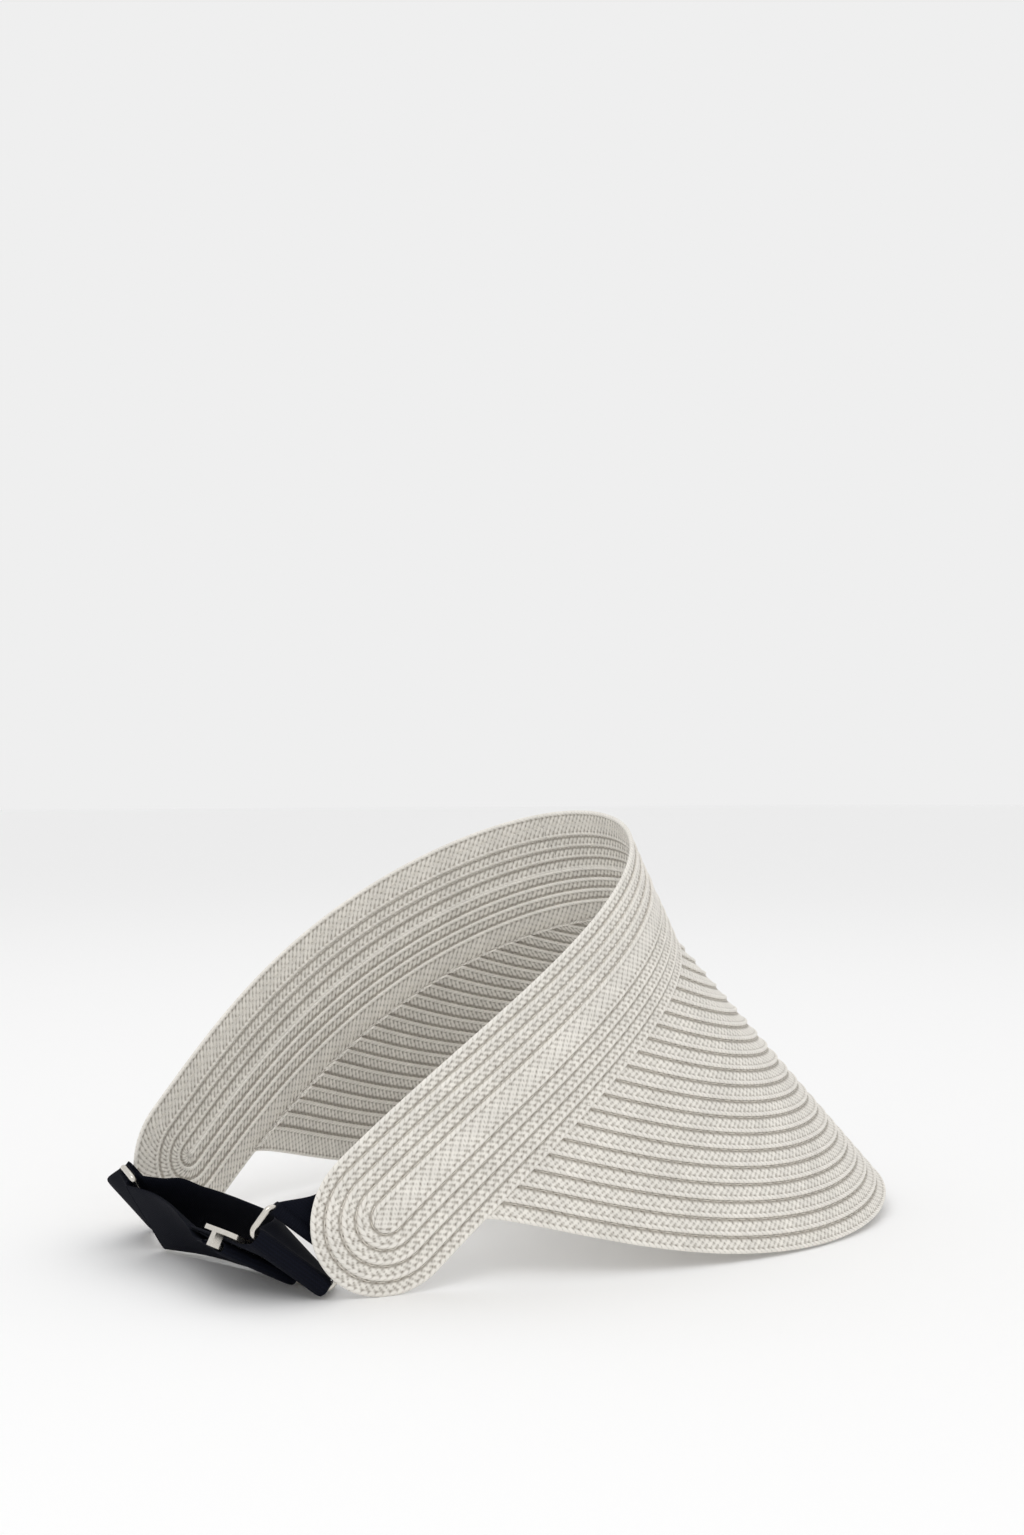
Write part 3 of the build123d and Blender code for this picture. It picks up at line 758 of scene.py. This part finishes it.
class VISOR_OT_webbing(bpy.types.Operator):
    """Cut and fold the elastic webbing: two tabs, the strap and its sewn loop"""
    bl_idname = "visor.webbing"
    bl_label = "Webbing"

    def execute(self, context):
        cloth = context.scene.visor_webbing
        material = get_material("Elastic webbing, woven polyester", webbing_material, cloth.colour, cloth.rib)
        strap = fold(FAR_STRAP_BAR, FAR_BARS, FAR_INSIDE * -1, FAR_PULL)
        strap += [
            (vec(-157.6, 16.5, 15.0), vec(-0.54, -0.10, 0.835)),
            (vec(-153.4, 9.0, 14.4), vec(-0.53, -0.06, 0.845)),
            (vec(-150.4, 0.0, 13.4), vec(-0.54, -0.02, 0.84)),
            (vec(-146.4, -19.0, 12.7), vec(-0.62, 0.0, 0.785)),
            (vec(-145.8, -38.0, 12.0), vec(-0.66, 0.03, 0.75)),
            (vec(-150.4, -47.0, 12.8), vec(-0.71, 0.10, 0.70)),
        ]
        strap += fold(NEAR_STRAP_BAR, NEAR_BARS, NEAR_UPPER, NEAR_AWAY * -1)
        strap += [(vec(-159.3, -49.6, 10.4), vec(-0.835, 0.07, 0.54))]
        strap += [(slider_plane(y), SLIDER_ACROSS) for y in (-47, -44, -40, -34, -28, -22, -16.5)]
        piece = webbing("strap_webbing", strap, cloth,
                        wave=lambda run: 0.7 * np.sin(run / 3.1) * np.exp(-((run - 20) / 12) ** 2))
        ride_and_replace(piece, "visor", material, "elastic_webbing", "strap")

        outer = [
            (slider_plane(-26.4, BAR_BELOW), SLIDER_ACROSS),
            (slider_plane(-22.7, BAR_BELOW), SLIDER_ACROSS),
            (vec(-160.0, -13.0, 9.6), vec(-0.80, 0.0, 0.60)),
            (vec(-161.2, -3.0, 11.6), vec(-0.70, -0.03, 0.71)),
            (vec(-162.8, 8.0, 12.6), vec(-0.62, -0.07, 0.78)),
            (vec(-164.6, 17.0, 12.6), vec(-0.57, -0.11, 0.815)),
            (strap[0][0] - FAR_PULL * 0.1, FAR_BARS),
        ]
        piece = webbing("strap_outer_webbing", outer, cloth)
        finish_piece(piece, material, "elastic_webbing", "strap_outer_run")
        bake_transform(piece)

        loop = sewn_loop(cloth)
        ride_and_replace(loop, "slider", material, "elastic_webbing", "strap_sewn_loop")

        near = []
        for e in (26.0, 22.0, 18.0, 14.0):
            s = e - BAND_HALF
            near.append((band_point(s, 6.0, -2.1), band_frame(s)[2]))
        near.append((NEAR_TAB_BAR + NEAR_PULL * 1.7, NEAR_BARS))
        piece = webbing("near_tab_webbing", near, cloth, thickness=1.9)
        add_sleeve(piece, NEAR_TAB_BAR, NEAR_BARS, cloth)
        ride_and_replace(piece, "visor", material, "elastic_webbing", "near_tab")

        tip = BAND_HALF - 6.0
        far = [
            (band_point(tip, 5.0), band_frame(tip)[2]),
            (band_point(BAND_HALF, 5.0), band_frame(BAND_HALF)[2]),
            (vec(-158.2, 50.0, 11.4), vec(-0.68, -0.14, 0.72)),
            (FAR_TAB_BAR + FAR_PULL * 1.7, FAR_BARS),
        ]
        piece = webbing("far_tab_webbing", far, cloth, thickness=1.9)
        add_sleeve(piece, FAR_TAB_BAR, FAR_BARS, cloth)
        ride_and_replace(piece, "visor", material, "elastic_webbing", "far_tab")
        return {"FINISHED"}


def round_bar(bar, bars, radius_in, radius_out, cloth):
    """Points and quads of webbing once round a bar."""
    half = cloth.width / MM / 2
    one = unit(np.cross(bars, vec(0, 0, 1)))
    two = np.cross(bars, one)
    rows = np.linspace(-half, half, 20)
    turn = np.arange(32) * 2 * math.pi / 32
    ring = np.cos(turn)[:, None] * one + np.sin(turn)[:, None] * two
    ins = bar + rows[:, None, None] * bars + ring * radius_in
    outs = bar + rows[:, None, None] * bars + ring * radius_out
    section = np.concatenate([outs, ins[::-1]], axis=0)
    n, m = len(section), len(turn)
    i = np.arange(n)[:, None]
    j = np.arange(m)[None, :]
    a, b = i * m + j, i * m + (j + 1) % m
    c, d = ((i + 1) % n) * m + (j + 1) % m, ((i + 1) % n) * m + j
    return section.reshape(-1, 3), np.stack([a, b, c, d], axis=-1).reshape(-1, 4)


def join_into(piece, other):
    """Join a second mesh into a piece, keeping its faces and unwrap."""
    work = bmesh.new()
    work.from_mesh(piece.data)
    work.from_mesh(other.data)
    work.to_mesh(piece.data)
    work.free()
    bpy.data.objects.remove(other)


def add_sleeve(piece, bar, bars, cloth):
    """The round of a tab's fold about its ring's bar."""
    points, quads = round_bar(bar, bars, 1.05, 2.05, cloth)
    uv = np.tile(np.array([0, 0, 0, 0.02, 0.02, 0.02, 0.02, 0]), (len(quads), 1))
    join_into(piece, mesh_object("sleeve", points, quads, uv))


def sewn_loop(cloth):
    """The strap's end, round the slider's middle bar and sewn to itself."""
    half = cloth.width / MM / 2
    bar = SLIDER - SLIDER_UP * BAR_BELOW
    travel = vec(0, 1, 0)
    radius = 0.7 + 0.15 + 0.5
    path = []
    tail = 9.5
    path += [(tail, 0.5), (tail - 3, 0.5), (3.6, 0.62), (2.6, 1.1), (1.3, radius)]
    for angle in np.linspace(90, 270, 9)[1:-1]:
        turn = math.radians(angle)
        path.append((-1.3 + radius * math.cos(turn), radius * math.sin(turn)))
    path += [(1.3, -radius), (2.6, -1.1), (3.6, -0.62), (tail - 3, -0.5), (tail, -0.5)]
    stations = [(bar + travel * x + SLIDER_UP * y, SLIDER_ACROSS) for x, y in path]
    return webbing("strap_loop_webbing", stations, cloth, thickness=0.98, step=0.4)


class VISOR_OT_hardware(bpy.types.Operator):
    """Finish the two rings and the slider in polished nickel"""
    bl_idname = "visor.hardware"
    bl_label = "Rings and slider"

    def execute(self, context):
        material = get_material("Nickel-plated steel, polished", nickel_material)
        for name in ("far_ring", "near_ring", "slider"):
            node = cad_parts[name]
            node.data.materials.clear()
            node.data.materials.append(material)
        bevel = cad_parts["slider"].modifiers.new("Stamped edge", "BEVEL")
        bevel.width = 0.25 * MM
        bevel.segments = 3
        bevel.limit_method = "ANGLE"
        return {"FINISHED"}


class VISOR_OT_stage(bpy.types.Operator):
    """Lay a pale floor, and set the lights and the camera"""
    bl_idname = "visor.stage"
    bl_label = "Stage"

    def execute(self, context):
        settings = context.scene.visor_stage
        scene = context.scene
        scene.view_settings.view_transform = "Standard"
        material, tree = new_material("Floor, matt painted board")
        grain = add_node(tree, "ShaderNodeTexNoise", {"Scale": 40.0})
        pale = linear(settings.floor)
        tint = colour_mix(tree, grain.outputs["Fac"], pale, tuple(c * 0.995 for c in pale[:3]) + (1,))
        shader = add_node(tree, "ShaderNodeBsdfPrincipled", {"Roughness": 0.95}, {"Base Color": tint})
        add_node(tree, "ShaderNodeOutputMaterial", None, {"Surface": shader.outputs["BSDF"]})
        size = settings.floor_size / 2
        mesh = bpy.data.meshes.new("floor")
        corners = [(-size, -size, 0), (size, -size, 0), (size, size, 0), (-size, size, 0)]
        mesh.from_pydata(corners, [], [(0, 1, 2, 3)])
        floor = bpy.data.objects.new("floor", mesh)
        floor.data.materials.append(material)
        scene.collection.objects.link(floor)

        world = bpy.data.worlds.new("Studio")
        world.use_nodes = True
        world.node_tree.nodes["Background"].inputs["Color"].default_value = linear("EFEFEF")
        world.node_tree.nodes["Background"].inputs["Strength"].default_value = 1.0
        scene.world = world

        def area(name, place, target, size, power):
            light = bpy.data.lights.new(name, "AREA")
            light.size = size
            light.energy = power
            lamp = bpy.data.objects.new(name, light)
            lamp.location = place
            lamp.rotation_euler = (Vector(target) - Vector(place)).to_track_quat("-Z", "Y").to_euler()
            scene.collection.objects.link(lamp)

        area("key", (-0.9, -0.9, 1.3), (0, 0, 0.05), 0.7, 4.4)
        area("top", (0.3, 0.5, 1.6), (0, 0, 0.05), 1.2, 1.6)

        camera = bpy.data.cameras.new("camera")
        camera.sensor_fit = "HORIZONTAL"
        camera.sensor_width = 36.0
        camera.lens = 68.16
        eye = bpy.data.objects.new("camera", camera)
        right = Vector((0.80489, -0.59341, -0.00369))
        up = Vector((-0.00752, -0.01642, 0.99984))
        forward = Vector((0.59337, 0.80473, 0.01768))
        place = (np.array([-434.94, -535.56, 142.15]) + SHIFT) * MM
        turn = Matrix((right, up, -forward)).transposed().to_4x4()
        eye.matrix_world = Matrix.Translation(Vector(place)) @ turn
        scene.collection.objects.link(eye)
        scene.camera = eye
        return {"FINISHED"}


class VISOR_PT_panel(bpy.types.Panel):
    """Sizes, colours and building steps of the visor"""
    bl_idname = "VISOR_PT_panel"
    bl_label = "Visor"
    bl_space_type = "VIEW_3D"
    bl_region_type = "UI"
    bl_category = "Visor"

    def draw(self, context):
        layout = self.layout
        for group in ("visor_straw", "visor_webbing", "visor_stage"):
            settings = getattr(context.scene, group)
            box = layout.box()
            for key in settings.bl_rna.properties.keys():
                if key not in ("rna_type", "name"):
                    box.prop(settings, key)
        for step in STEPS:
            layout.operator(step.bl_idname)


SETTINGS = {"visor_straw": StrawSettings, "visor_webbing": WebbingSettings, "visor_stage": StageSettings}
STEPS = (VISOR_OT_headband, VISOR_OT_brim, VISOR_OT_stitching, VISOR_OT_webbing, VISOR_OT_hardware, VISOR_OT_stage)


def register():
    for kind in (*SETTINGS.values(), *STEPS, VISOR_PT_panel):
        bpy.utils.register_class(kind)
    for name, kind in SETTINGS.items():
        setattr(bpy.types.Scene, name, bpy.props.PointerProperty(type=kind))


def unregister():
    for name in SETTINGS:
        delattr(bpy.types.Scene, name)
    for kind in (VISOR_PT_panel, *reversed(STEPS), *reversed(SETTINGS.values())):
        bpy.utils.unregister_class(kind)


def main():
    register()
    bpy.ops.visor.headband()
    bpy.ops.visor.brim()
    bpy.ops.visor.stitching()
    bpy.ops.visor.webbing()
    bpy.ops.visor.hardware()
    bpy.ops.visor.stage()


if __name__ == "__main__":
    main()
